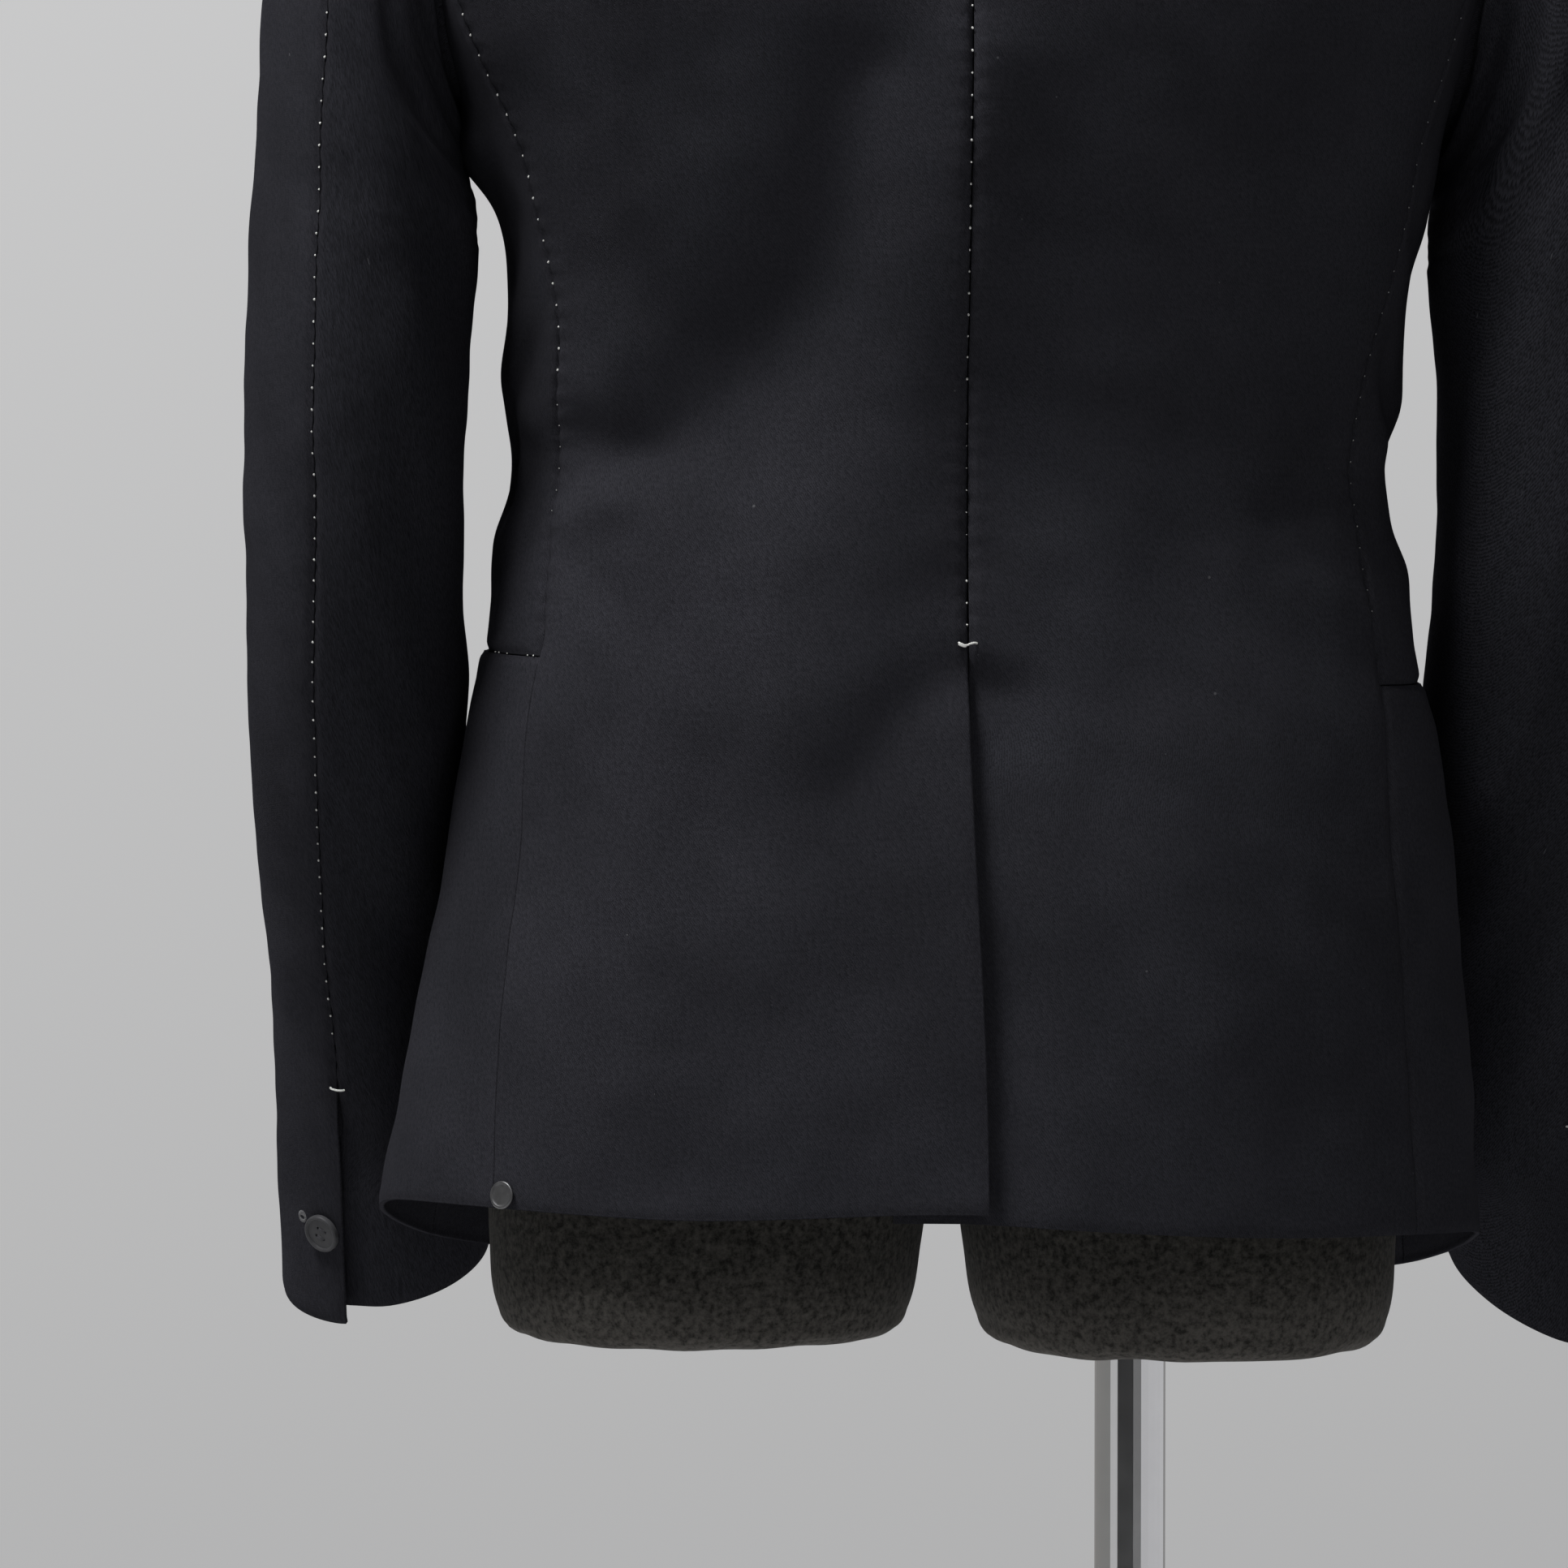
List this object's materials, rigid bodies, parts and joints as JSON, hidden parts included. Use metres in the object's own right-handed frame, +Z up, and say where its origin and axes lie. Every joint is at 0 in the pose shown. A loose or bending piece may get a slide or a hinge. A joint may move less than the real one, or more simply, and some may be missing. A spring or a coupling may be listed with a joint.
{
  "type": "denim blazer on a limbless dress form",
  "caption": "Tailored denim blazer with notch lapels, back vent and hip pockets, worn by a limbless dress form on a pole and round base.",
  "frame": {"origin": "on the underside of the stand's round plate, below the middle of the jacket", "axes": "+Z up; the front faces -Y and the back +Y; the wearer's left is +X"},
  "size_m": [0.5634, 0.4, 1.5383],
  "materials": {
    "cloth": "near-black cotton twill, body and top sleeves",
    "under_cloth": "the same twill, under sleeves",
    "collar_cloth": "the same twill, pressed, collar and lapels",
    "button": "dark grey, satin",
    "rivet": "flat grey metal, face left plain",
    "form_cloth": "dark felt-like jersey over the dress form",
    "chrome": "polished"
  },
  "bodies": {
    "root": {"back_left": "cloth", "back_right": "cloth", "side_left": "cloth", "side_right": "cloth", "pocket_left": "cloth", "pocket_right": "cloth", "front_left": "cloth", "front_right": "cloth", "lapel_left": "collar_cloth", "lapel_right": "collar_cloth", "collar": "collar_cloth", "top_sleeve_left": "cloth", "top_sleeve_right": "cloth", "under_sleeve_left": "under_cloth", "under_sleeve_right": "under_cloth", "cuff_button_left": "button", "cuff_button_right": "button", "front_button_1": "button", "front_button_2": "button", "rivet": "rivet", "form_torso": "form_cloth", "form_thigh_left": "form_cloth", "form_thigh_right": "form_cloth", "form_neck_cap": "chrome", "stand_pole": "chrome", "stand_socket": "chrome", "stand_plate": "chrome"}
  },
  "joints": []
}
